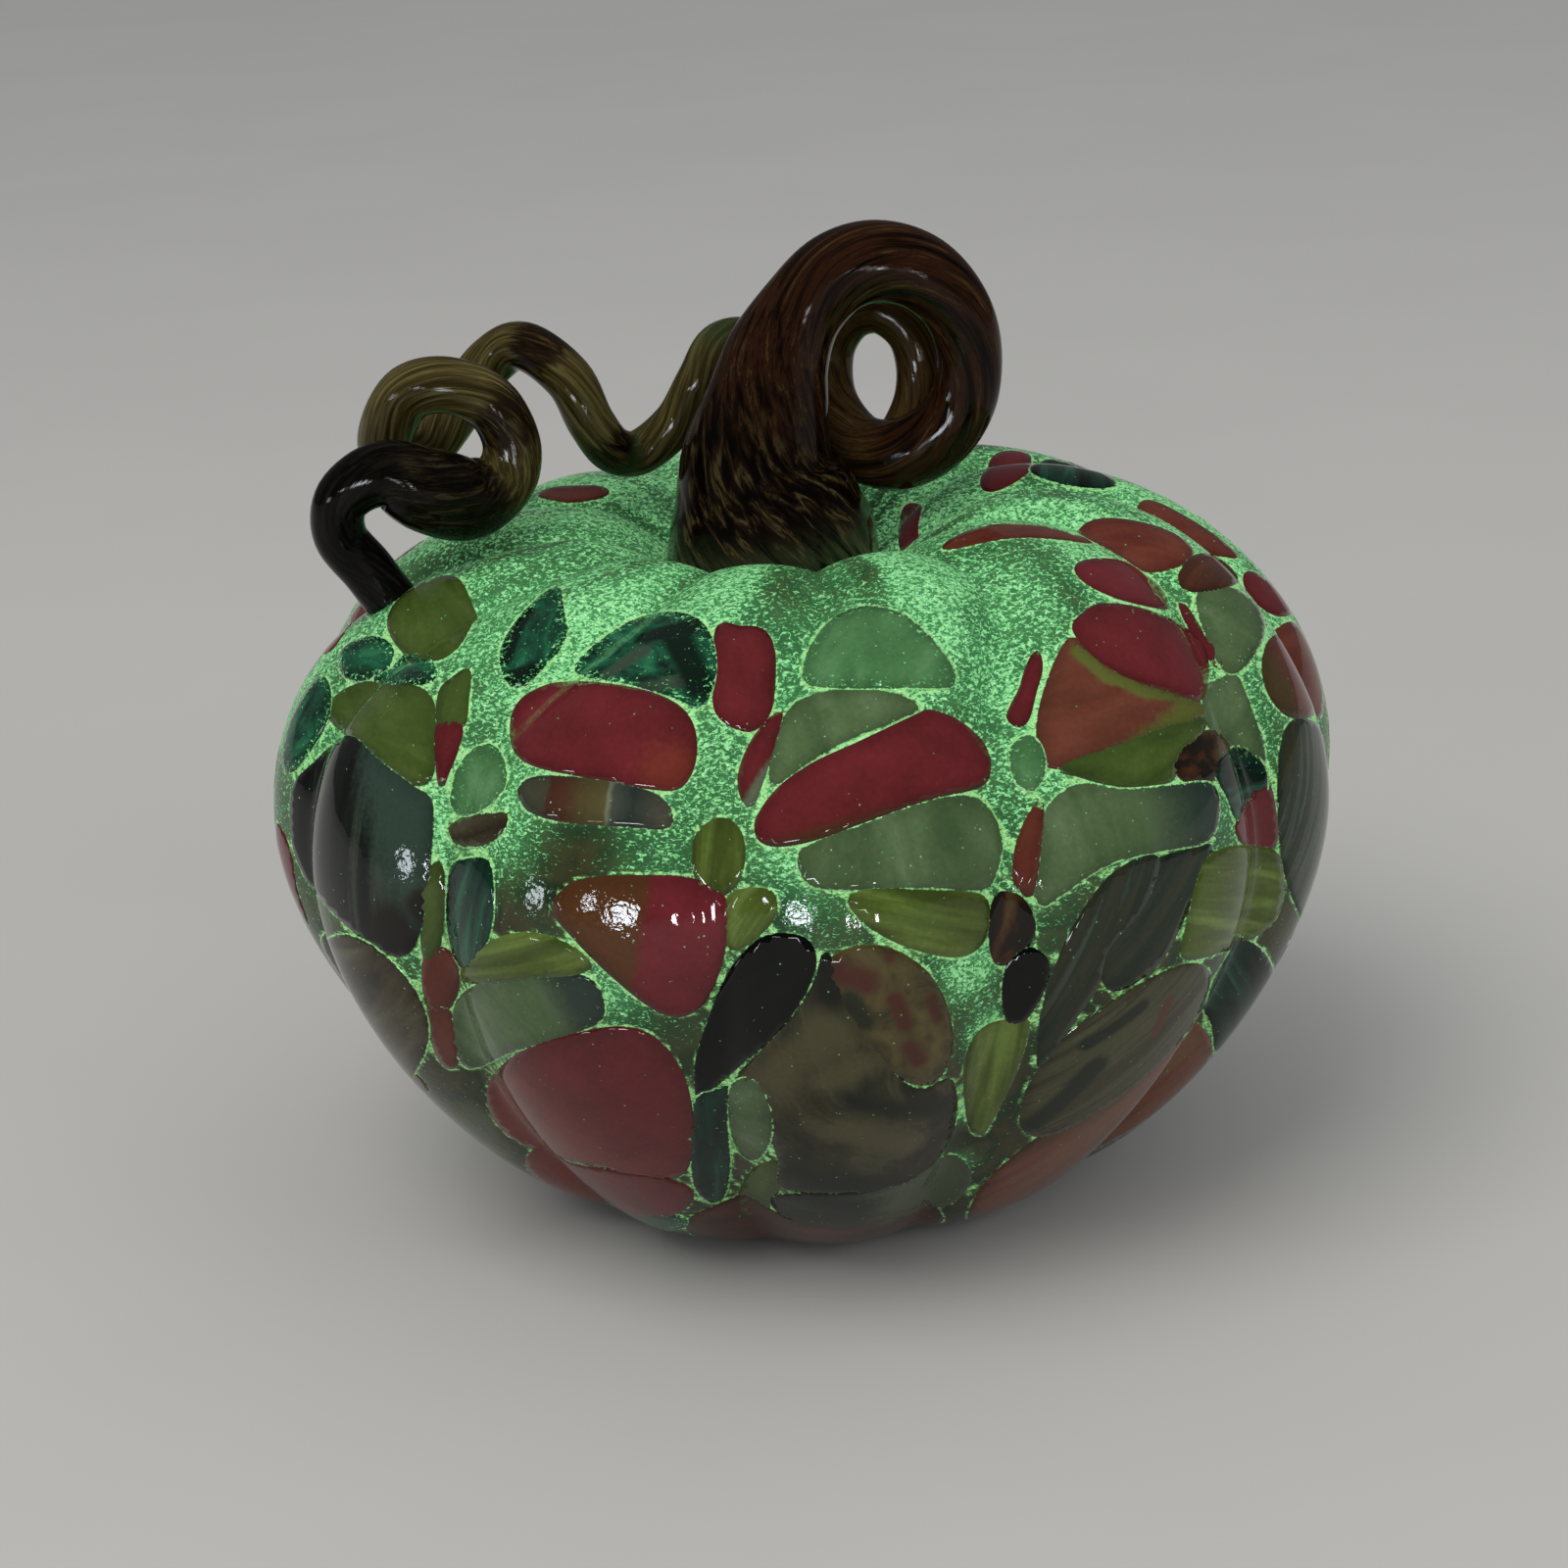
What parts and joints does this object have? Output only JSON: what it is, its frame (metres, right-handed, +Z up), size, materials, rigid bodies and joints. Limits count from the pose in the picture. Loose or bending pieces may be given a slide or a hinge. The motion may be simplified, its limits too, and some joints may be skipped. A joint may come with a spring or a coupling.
{
  "type": "glass pumpkin ornament",
  "caption": "Blown glass pumpkin with a swirled ribbed body, colour chips set in its skin, a thick curled-over stem and a corkscrew tendril.",
  "frame": {"origin": "on the pumpkin's axis, on the surface that its base ring rests on", "axes": "+Z up through the stem, -Y is the front, where the stem curls to the right and the tendril lies to the left"},
  "size_m": [0.1396, 0.1397, 0.1251],
  "materials": {
    "body": "glossy clear glass with a dense picked-up layer of fine green glass powder",
    "stem": "glossy dark brown glass, streaked along the rod",
    "tendril": "glossy olive-amber glass with brown streaks",
    "crimson": "glossy opaque crimson glass",
    "rust": "glossy orange-brown glass",
    "olive": "glossy olive-yellow glass",
    "teal": "glossy dark teal glass",
    "mint": "glossy grey-green translucent glass",
    "amber": "glossy brown-olive translucent glass",
    "smoke": "glossy near-black glass"
  },
  "bodies": {
    "root": {"amber_chip_1": "amber", "amber_chip_2": "amber", "amber_chip_3": "amber", "amber_chip_4": "amber", "amber_chip_5": "amber", "amber_chip_6": "amber", "body": "body", "crimson_chip_1": "crimson", "crimson_chip_10": "crimson", "crimson_chip_11": "crimson", "crimson_chip_12": "crimson", "crimson_chip_13": "crimson", "crimson_chip_14": "crimson", "crimson_chip_15": "crimson", "crimson_chip_16": "crimson", "crimson_chip_17": "crimson", "crimson_chip_2": "crimson", "crimson_chip_3": "crimson", "crimson_chip_4": "crimson", "crimson_chip_5": "crimson", "crimson_chip_6": "crimson", "crimson_chip_7": "crimson", "crimson_chip_8": "crimson", "crimson_chip_9": "crimson", "mint_chip_1": "mint", "mint_chip_2": "mint", "mint_chip_3": "mint", "mint_chip_4": "mint", "mint_chip_5": "mint", "mint_chip_6": "mint", "mint_chip_7": "mint", "mint_chip_8": "mint", "olive_chip_1": "olive", "olive_chip_10": "olive", "olive_chip_11": "olive", "olive_chip_2": "olive", "olive_chip_3": "olive", "olive_chip_4": "olive", "olive_chip_5": "olive", "olive_chip_6": "olive", "olive_chip_7": "olive", "olive_chip_8": "olive", "olive_chip_9": "olive", "rust_chip_1": "rust", "rust_chip_2": "rust", "rust_chip_3": "rust", "rust_chip_4": "rust", "smoke_chip_1": "smoke", "smoke_chip_2": "smoke", "smoke_chip_3": "smoke", "stem": "stem", "teal_chip_1": "teal", "teal_chip_2": "teal", "teal_chip_3": "teal", "teal_chip_4": "teal", "teal_chip_5": "teal", "teal_chip_6": "teal", "tendril": "tendril"}
  },
  "joints": []
}
